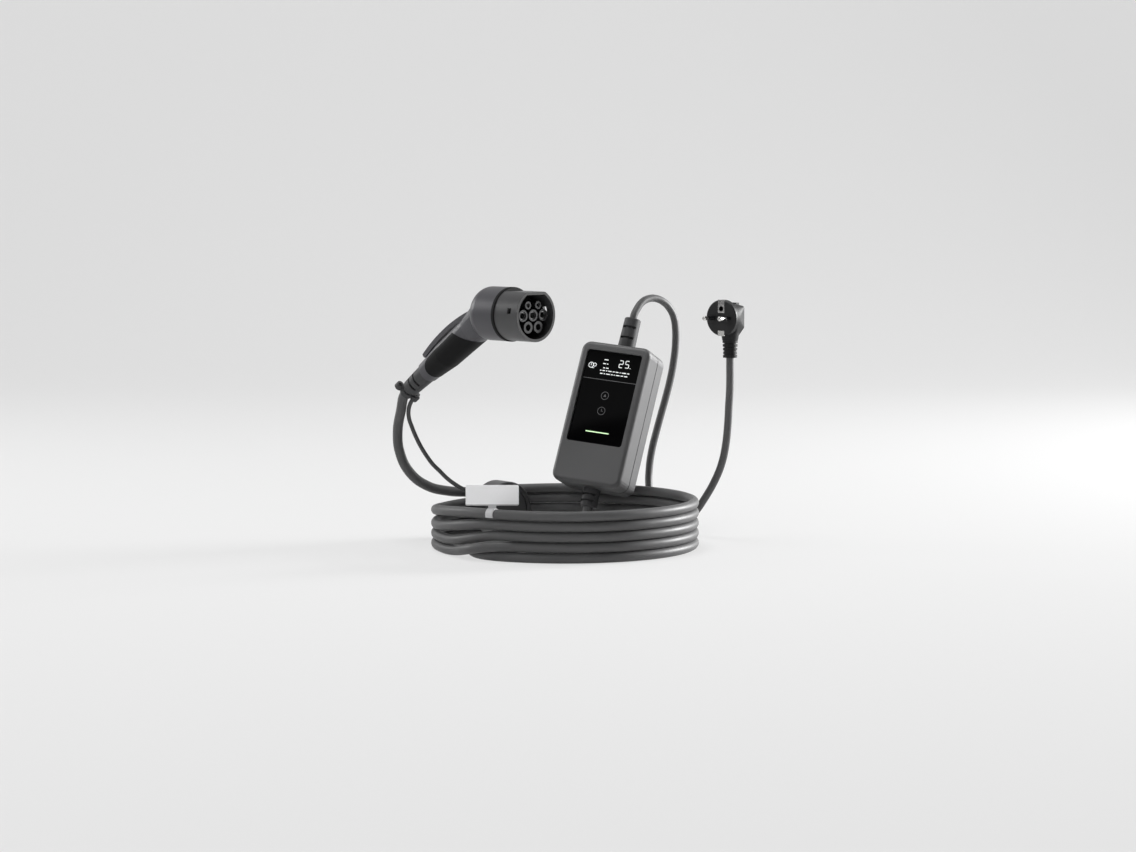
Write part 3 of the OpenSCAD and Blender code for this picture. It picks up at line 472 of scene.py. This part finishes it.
def setGlow(tree, shader, tone, strength):
    tree.links.new(tone, shader.inputs["Base Color"])
    tree.links.new(tone, shader.inputs["Emission Color"])
    shader.inputs["Emission Strength"].default_value = strength
    shader.inputs["Roughness"].default_value = glowRough


def glowFinish(name, core, edge, strength, grain=420.0):
    mat, tree, shader, coords = startFinish(name)
    skin = useGroup(tree, mouldGrain, coords, Grain_Scale=grain)
    setGlow(tree, shader, colourMix(tree, skin.outputs["Tone"], core, edge), strength)
    return mat


glowSpec = {
    "screenGlow": {"core": (0.6, 0.62, 0.62), "edge": (0.85, 0.87, 0.87), "strength": 0.55},
    "iconGrey": {"core": (0.045, 0.045, 0.047), "edge": (0.075, 0.075, 0.077), "strength": 0.5},
}
finishes.update({name: glowFinish(name, **spec) for name, spec in glowSpec.items()})

# the nose's front rim is painted dark: painted shade that matches the shaded inside of the opening
rimShadeSpec = {"noseLength": 36.5, "deep": 0.5, "soft": 0.2, "tone": (0.01, 0.01, 0.0105)}


def rimShadeFinish(name, spec):
    mat = plasticFinish(name, **plasticSpec["nosePlastic"])
    tree = mat.node_tree
    shader = tree.nodes["Principled BSDF"]
    coords = tree.nodes["Texture Coordinate"]
    axis = connectorPlace.to_3x3() @ Vector((1, 0, 0))
    edge = axis.dot(connectorPlace @ (Vector((spec["noseLength"] - spec["deep"], 0, 0)) * mm))
    # painted shade: from half a millimetre behind the nose's front face onwards the colour turns dark
    rimShade = ranged(tree, alongAxis(tree, coords, axis), (edge, edge + spec["soft"] * mm))
    paint = colourMix(tree, rimShade, shader.inputs["Base Color"].links[0].from_socket, spec["tone"])
    tree.links.new(paint, shader.inputs["Base Color"])
    return mat


finishes["noseRimShade"] = rimShadeFinish("noseRimShade", rimShadeSpec)

# the status light is a lit line that fades to green at the guide's long edges
lightSpec = {
    "up": -20.25, "half": 0.62, "coreShare": 0.35, "core": (0.74, 1.0, 0.62), "edge": (0.008, 0.05, 0.006),
    "strength": 0.75,
}


def lightFinish(name, spec):
    mat, tree, shader, coords = startFinish(name)
    links = tree.links
    upward = boxPlace.to_3x3() @ Vector((0, 0, 1))
    level = upward.dot(boxPlace @ (Vector((0, 0, spec["up"])) * mm))
    away = addNode(tree, "ShaderNodeMath", {1: level}, operation="SUBTRACT")
    links.new(alongAxis(tree, coords, upward), away.inputs[0])
    distance = addNode(tree, "ShaderNodeMath", operation="ABSOLUTE")
    links.new(away.outputs[0], distance.inputs[0])
    half = spec["half"] * mm
    fade = ranged(tree, distance.outputs[0], (half * spec["coreShare"], half))
    setGlow(tree, shader, colourMix(tree, fade, spec["core"], spec["edge"]), spec["strength"])
    return mat


finishes["statusGlow"] = lightFinish("statusGlow", lightSpec)

# the cable tag is a clear strap up to its neck and a white flag above
tagSpec = {
    "neckTop": 57.0, "soft": 0.4, "strap": (0.5, 0.5, 0.51), "flag": (0.97, 0.97, 0.98), "rough": (0.3, 0.44),
    "grain": 700.0, "drift": 60.0, "shade": 0.05, "depth": 0.04,
}


def tagFinish(name, spec):
    mat, tree, shader, coords = startFinish(name)
    links = tree.links
    skin = useGroup(tree, mouldGrain, coords, Grain_Scale=spec["grain"], Drift_Scale=spec["drift"])
    place = tree.nodes.new("ShaderNodeSeparateXYZ")
    links.new(coords.outputs["Object"], place.inputs[0])
    neck = spec["neckTop"] * mm
    above = ranged(tree, place.outputs["Z"], (neck - spec["soft"] * mm, neck))
    shaded = addNode(tree, "ShaderNodeMix", data_type="RGBA", blend_type="MULTIPLY")
    shaded.inputs[mixShare].default_value = spec["shade"]
    links.new(colourMix(tree, above, spec["strap"], spec["flag"]), shaded.inputs[mixLow])
    links.new(skin.outputs["Tone"], shaded.inputs[mixHigh])
    links.new(shaded.outputs[mixResult], shader.inputs["Base Color"])
    links.new(ranged(tree, skin.outputs["Tone"], result=spec["rough"]), shader.inputs["Roughness"])
    addBump(tree, shader, skin.outputs["Height"], spec["depth"], grainDistance)
    return mat


finishes["tagFilm"] = tagFinish("tagFilm", tagSpec)

# the plug's pins: dark and not metallic at the root, bright metal towards the tip
pinSpec = {
    "sleeveEnd": 30, "soft": 0.25, "sleeve": (0.012, 0.012, 0.013), "metal": (0.74, 0.73, 0.71),
    "rough": (0.2, 0.36),
}


def sleevedFinish(name, spec):
    mat, tree, shader, coords = startFinish(name)
    links = tree.links
    yaw = math.radians(placing["plugYaw"])
    axis = Vector((math.cos(yaw), math.sin(yaw), 0))
    edge = (axis.dot(Vector(placing["plugAt"])) + spec["sleeveEnd"]) * mm
    # each pin is dark from its root up to a set length along the plug's axis, bright metal beyond
    bare = ranged(tree, alongAxis(tree, coords, axis), (edge - spec["soft"] * mm, edge))
    lines = useGroup(tree, turnedLines, coords)
    links.new(colourMix(tree, bare, spec["sleeve"], spec["metal"]), shader.inputs["Base Color"])
    links.new(bare, shader.inputs["Metallic"])
    links.new(ranged(tree, lines.outputs["Line"], result=spec["rough"]), shader.inputs["Roughness"])
    return mat


finishes["sleevedPin"] = sleevedFinish("sleevedPin", pinSpec)

nodeFinish = {
    "front_shell": "boxShell", "rear_shell": "boxShell", "case_seal": "sealRubber",
    "touch_panel": "panelGloss", "display_module": "displayGlass", "status_light": "statusGlow",
    "main_board": "boardGreen",
    "power_relays": "relayBlue", "leakage_sensor": "coilCopper", "supply_transformer": "transformerTape",
    "supply_capacitors": "canSleeve", "control_chip": "sealRubber", "mains_terminal": "terminalGreen",
    "output_terminal": "terminalGreen", "board_screws": "screwSteel", "case_screws": "screwSteel",
    "mains_gland": "glandPlastic", "cable_gland": "glandPlastic", "handle_shell": "headPlastic",
    "grip_inlay": "gripRubber", "spine_strip": "spinePlastic", "seal_ring": "sealRubber",
    # the nose shell takes the finish with the painted shade on its front rim
    "nose_shell": "noseRimShade", "contact_carrier": "carrierPlastic", "power_contacts": "contactSilver",
    "signal_contacts": "contactSilver", "coding_board": "boardGreen", "handle_gland": "glandPlastic",
    "tether_clip": "glandPlastic", "dust_cap": "nosePlastic", "cap_seal": "sealRubber",
    "plug_body": "plugPlastic", "plug_face": "plugFront", "line_pins": "sleevedPin",
    "earth_contacts": "pinNickel", "cable_tag": "tagFilm", "cable_coil": "cableJacket",
    "cable_riser": "cableJacket", "cable_link": "cableJacket", "mains_lead": "cableJacket",
    "tether": "tetherRubber",
}


def dress(obj, finish):
    obj.data.materials.clear()
    obj.data.materials.append(finishes[finish])


for nodeName, nodeLook in nodeFinish.items():
    dress(nodes[nodeName], nodeLook)
dress(chargingCable, "cableJacket")
dress(mainsLead, "cableJacket")
dress(tetherCord, "tetherRubber")
print("finishes made")


# plain floor that sweeps up behind
studio = {
    "floorTone": 0.8, "haze": 0.985, "rough": 0.8, "specular": 0.1, "evenness": 0.8, "below": 0.0004,
    "sweepFrom": 2.2, "sweepRadius": 2.0, "sweepSteps": 12, "wall": 5.0, "half": 9.0, "front": -9.0,
}


def sweepShape(spec):
    nothingSelected()
    bpy.ops.mesh.primitive_plane_add(size=1, location=(0, 0, 0))
    sweep = bpy.context.object
    sweep.name = "studioSweep"
    sweep.scale = (2 * spec["half"], spec["sweepFrom"] - spec["front"], 1)
    bpy.ops.object.transform_apply(location=False, rotation=False, scale=True)
    sweep.location = (0, (spec["sweepFrom"] + spec["front"]) / 2, -spec["below"])
    bpy.ops.object.transform_apply(location=True, rotation=False, scale=False)
    mesh = sweep.data
    bpy.ops.object.mode_set(mode="EDIT")
    bpy.ops.mesh.select_mode(type="EDGE")
    bpy.ops.mesh.select_all(action="DESELECT")
    bpy.ops.object.mode_set(mode="OBJECT")
    nearBack = spec["sweepFrom"] - 0.01
    for edge in mesh.edges:
        edge.select = all(mesh.vertices[v].co.y > nearBack for v in edge.vertices)
    bpy.ops.object.mode_set(mode="EDIT")
    last = (0.0, 0.0)
    for k in range(1, spec["sweepSteps"] + 1):
        a = math.pi / 2 * k / spec["sweepSteps"]
        here = (spec["sweepRadius"] * math.sin(a), spec["sweepRadius"] * (1 - math.cos(a)))
        step = (0, here[0] - last[0], here[1] - last[1])
        bpy.ops.mesh.extrude_region_move(TRANSFORM_OT_translate={"value": step})
        last = here
    bpy.ops.mesh.extrude_region_move(TRANSFORM_OT_translate={"value": (0, 0, spec["wall"])})
    bpy.ops.object.mode_set(mode="OBJECT")
    bpy.ops.object.shade_smooth()
    return sweep


def sweepFinish(name, spec):
    mat, tree, shader, coords = startFinish(name)
    links = tree.links
    haze = addNode(tree, "ShaderNodeTexNoise", {"Scale": 0.6, "Detail": 2.0})
    links.new(coords.outputs["Object"], haze.inputs["Vector"])
    tone = spec["floorTone"]
    paint = colourMix(tree, haze.outputs["Fac"], (tone * spec["haze"],) * 3, (tone,) * 3)
    links.new(paint, shader.inputs["Base Color"])
    shader.inputs["Roughness"].default_value = spec["rough"]
    shader.inputs["Specular IOR Level"].default_value = spec["specular"]
    # a share of plain glow evens out the pale floor where it is seen
    glow = addNode(tree, "ShaderNodeEmission", {"Strength": 1.0})
    links.new(paint, glow.inputs["Color"])
    path = tree.nodes.new("ShaderNodeLightPath")
    seen = addNode(tree, "ShaderNodeMath", operation="MAXIMUM")
    share = addNode(tree, "ShaderNodeMath", {1: spec["evenness"]}, operation="MULTIPLY")
    mix = tree.nodes.new("ShaderNodeMixShader")
    links.new(path.outputs["Is Camera Ray"], seen.inputs[0])
    links.new(path.outputs["Is Glossy Ray"], seen.inputs[1])
    links.new(seen.outputs[0], share.inputs[0])
    links.new(share.outputs[0], mix.inputs[0])
    links.new(shader.outputs["BSDF"], mix.inputs[1])
    links.new(glow.outputs[0], mix.inputs[2])
    links.new(mix.outputs[0], tree.nodes["Material Output"].inputs["Surface"])
    return mat


sweep = sweepShape(studio)
sweep.data.materials.append(sweepFinish("paleSweep", studio))

# soft lamps, all turned to the middle of the charger
lampAim = (0, 0, 0.12)
lamps = {
    "keyTop": {"at": (-0.4, -0.1, 2.3), "size": 0.9, "power": 34},
    "sideRight": {"at": (2.2, 1.0, 0.7), "size": 0.7, "power": 142},
    "frontLeft": {"at": (-1.7, -1.9, 1.1), "size": 1.4, "power": 15},
    "rimLeft": {"at": (-1.9, 0.9, 0.9), "size": 0.7, "power": 16},
}
for lampName, lamp in lamps.items():
    nothingSelected()
    bpy.ops.object.light_add(type="AREA", location=lamp["at"])
    light = bpy.context.object
    light.name = lampName
    light.data.size = lamp["size"]
    light.data.energy = lamp["power"]
    light.rotation_euler = (Vector(lampAim) - Vector(lamp["at"])).to_track_quat("-Z", "Y").to_euler()

# the room's tone as light, and as it is seen
room = {"lightTone": 0.14, "seenTone": 0.8}


def setWorld(spec):
    world = bpy.data.worlds.new("softRoom")
    bpy.context.scene.world = world
    world.use_nodes = True
    tree = world.node_tree
    tree.nodes.clear()
    path = tree.nodes.new("ShaderNodeLightPath")
    lit, seen = [
        addNode(tree, "ShaderNodeBackground", {"Color": (spec[tone],) * 3 + (1,), "Strength": 1.0})
        for tone in ("lightTone", "seenTone")]
    mix = tree.nodes.new("ShaderNodeMixShader")
    surface = tree.nodes.new("ShaderNodeOutputWorld")
    sight = addNode(tree, "ShaderNodeMath", operation="MAXIMUM")
    tree.links.new(path.outputs["Is Camera Ray"], sight.inputs[0])
    tree.links.new(path.outputs["Is Transmission Ray"], sight.inputs[1])
    tree.links.new(sight.outputs[0], mix.inputs[0])
    tree.links.new(lit.outputs[0], mix.inputs[1])
    tree.links.new(seen.outputs[0], mix.inputs[2])
    tree.links.new(mix.outputs[0], surface.inputs["Surface"])


setWorld(room)
bpy.context.scene.view_settings.view_transform = "Standard"
print("studio lit")


# marks on the touch panel, laid on its face
panelSpec = {
    "face": 2.6, "proud": 0.06, "soft": 0.015, "dividerUp": 37.2, "dividerWide": 62, "dividerHigh": 0.6,
}
faceY = panelSpec["face"] - panelSpec["proud"] / 2


def flatBar(wide, high, x, z):
    # a bar that lies on the panel: a cube shaped to size, its edges eased
    nothingSelected()
    bpy.ops.mesh.primitive_cube_add(size=1, location=(0, 0, 0))
    bar = bpy.context.object
    bar.scale = (wide * mm, panelSpec["proud"] * mm, high * mm)
    bpy.ops.object.transform_apply(location=False, rotation=False, scale=True)
    bpy.ops.object.mode_set(mode="EDIT")
    bpy.ops.mesh.select_all(action="SELECT")
    bpy.ops.mesh.bevel(offset=panelSpec["soft"] * mm, segments=2, affect="EDGES")
    bpy.ops.object.mode_set(mode="OBJECT")
    bar.location = Vector((x, faceY, z)) * mm
    bpy.ops.object.transform_apply(location=True, rotation=False, scale=False)
    return bar


def ringMark(radius, stroke, x, z):
    # a thin ring pressed flat on the panel
    nothingSelected()
    bpy.ops.mesh.primitive_torus_add(
        major_radius=radius * mm, minor_radius=stroke / 2 * mm, major_segments=48, minor_segments=8,
        location=(0, 0, 0))
    ring = bpy.context.object
    ring.rotation_euler = (math.pi / 2, 0, 0)
    bpy.ops.object.transform_apply(location=False, rotation=True, scale=False)
    bpy.ops.object.mode_set(mode="EDIT")
    bpy.ops.mesh.select_all(action="SELECT")
    bpy.ops.transform.resize(value=(1, panelSpec["proud"] / stroke, 1))
    bpy.ops.object.mode_set(mode="OBJECT")
    ring.location = Vector((x, faceY, z)) * mm
    bpy.ops.object.transform_apply(location=True, rotation=False, scale=False)
    return ring


def onPanel(name, parts, finish):
    nothingSelected()
    for part in parts:
        part.select_set(True)
    bpy.context.view_layer.objects.active = parts[0]
    if len(parts) > 1:
        bpy.ops.object.join()
    piece = bpy.context.object
    piece.name = name
    piece.matrix_world = boxPlace @ piece.matrix_world
    bpy.ops.object.transform_apply(location=True, rotation=True, scale=True)
    dress(piece, finish)
    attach(piece, "root")


divider = flatBar(panelSpec["dividerWide"], panelSpec["dividerHigh"], 0, panelSpec["dividerUp"])
onPanel("panelDivider", [divider], "iconGrey")

# lit figures: segments of a number and rows of short dashes
screenSpec = {
    "digitWide": 4.0, "digitHigh": 7.6, "stroke": 0.8, "tipLong": 0.42, "tipHigh": 0.16,
    "digitAt": ((9.0, 56.6), (16.0, 57.0)), "point": (20.2, 53.2),
    "litSegments": ("top upperRight middle lowerLeft bottom", "top upperLeft middle lowerRight bottom"),
    "dashRows": (
        (-11.2, 59.2, (4.6,)), (-11.8, 54.8, (3.2, 1.6)), (-10.6, 50.2, (2.0, 3.0)),
        (-13.6, 47.2, (1.6, 3.0, 1.2, 4.0, 2.2, 3.4, 1.2, 5.0, 2.4)),
        (-12.7, 43.8, (3.0, 1.4, 4.6, 2.0, 1.2, 4.2, 2.8, 3.8))),
    "dashHigh": 1.0, "dashGap": 1.3,
}


def litSegment(length, spec, x, z, upright):
    # one stroke of a number: a bar whose two ends are drawn out to points
    stroke = spec["stroke"]
    endFacing = 0.9
    nothingSelected()
    bpy.ops.mesh.primitive_cube_add(size=1, location=(0, 0, 0))
    seg = bpy.context.object
    seg.scale = ((length - stroke) * mm, panelSpec["proud"] * mm, stroke * mm)
    bpy.ops.object.transform_apply(location=False, rotation=False, scale=True)
    for side in (-1, 1):
        bpy.ops.object.mode_set(mode="EDIT")
        bpy.ops.mesh.select_mode(type="FACE")
        bpy.ops.mesh.select_all(action="DESELECT")
        bpy.ops.object.mode_set(mode="OBJECT")
        for poly in seg.data.polygons:
            poly.select = poly.normal.x * side > endFacing
        bpy.ops.object.mode_set(mode="EDIT")
        tip = (side * stroke * spec["tipLong"] * mm, 0, 0)
        bpy.ops.mesh.extrude_region_move(TRANSFORM_OT_translate={"value": tip})
        bpy.ops.transform.resize(value=(1, 1, spec["tipHigh"]))
        bpy.ops.object.mode_set(mode="OBJECT")
    if upright:
        seg.rotation_euler = (0, math.pi / 2, 0)
    seg.location = Vector((x, faceY, z)) * mm
    bpy.ops.object.transform_apply(location=True, rotation=True, scale=False)
    return seg


def litNumber(spec):
    w, h = spec["digitWide"], spec["digitHigh"]
    seats = {
        "top": (0, h / 2, False), "middle": (0, 0, False), "bottom": (0, -h / 2, False),
        "upperLeft": (-w / 2, h / 4, True), "upperRight": (w / 2, h / 4, True),
        "lowerLeft": (-w / 2, -h / 4, True), "lowerRight": (w / 2, -h / 4, True)}
    parts = []
    for (x, z), lit in zip(spec["digitAt"], spec["litSegments"]):
        for seat in lit.split():
            dx, dz, upright = seats[seat]
            parts.append(litSegment(h / 2 if upright else w, spec, x + dx, z + dz, upright))
    parts.append(flatBar(spec["stroke"], spec["stroke"], *spec["point"]))
    return parts


def dashRows(spec):
    parts = []
    for x, z, lengths in spec["dashRows"]:
        here = x
        for length in lengths:
            parts.append(flatBar(length, spec["dashHigh"], here + length / 2, z))
            here += length + spec["dashGap"]
    return parts


# round gauge beside the number: rings by radius and place, bars by size and place
gaugeSpec = {
    "at": (-24.0, 51.6), "stroke": 0.7, "rings": ((2.8, -1.2, 0), (1.736, 3.0, 0.7)),
    "bars": ((3.6, 0.7, 1.2, -2.8), (0.7, 2.2, -1.2, 0.6)),
}


def gaugeMarks(spec):
    x, z = spec["at"]
    rings = [ringMark(radius, spec["stroke"], x + dx, z + dz) for radius, dx, dz in spec["rings"]]
    bars = [flatBar(wide, high, x + dx, z + dz) for wide, high, dx, dz in spec["bars"]]
    return rings + bars


gauge = gaugeMarks(gaugeSpec)
onPanel("screenFigures", litNumber(screenSpec) + dashRows(screenSpec) + gauge, "screenGlow")

# two touch marks: a raised arrow and a clock, each in a ring
touchSpec = {
    "radius": 4.2, "stroke": 0.6,
    "arrowAt": (-1.0, 20.2), "arrowSize": 2.0, "arrowDrop": 0.2, "arrowSoft": 0.02,
    "clockAt": (-1.0, 3.3), "hands": ((0.6, 2.6, 0, 1.1), (2.0, 0.6, 0.8, -0.2)),
}


def arrowMark(size, soft, x, z):
    nothingSelected()
    bpy.ops.mesh.primitive_cylinder_add(
        vertices=3, radius=size * mm, depth=panelSpec["proud"] * mm, location=(0, 0, 0))
    arrow = bpy.context.object
    arrow.rotation_euler = (math.pi / 2, 0, 0)
    bpy.ops.object.transform_apply(location=False, rotation=True, scale=False)
    bpy.ops.object.mode_set(mode="EDIT")
    bpy.ops.mesh.select_all(action="SELECT")
    bpy.ops.mesh.bevel(offset=soft * mm, segments=1, affect="EDGES")
    bpy.ops.object.mode_set(mode="OBJECT")
    arrow.location = Vector((x, faceY, z)) * mm
    bpy.ops.object.transform_apply(location=True, rotation=False, scale=False)
    return arrow


def touchMarks(spec):
    arrowX, arrowZ = spec["arrowAt"]
    clockX, clockZ = spec["clockAt"]
    parts = [
        ringMark(spec["radius"], spec["stroke"], arrowX, arrowZ),
        arrowMark(spec["arrowSize"], spec["arrowSoft"], arrowX, arrowZ - spec["arrowDrop"]),
        ringMark(spec["radius"], spec["stroke"], clockX, clockZ)]
    return parts + [flatBar(wide, high, clockX + dx, clockZ + dz) for wide, high, dx, dz in spec["hands"]]


onPanel("touchMarks", touchMarks(touchSpec), "iconGrey")
print("panel marked")

nothingSelected()
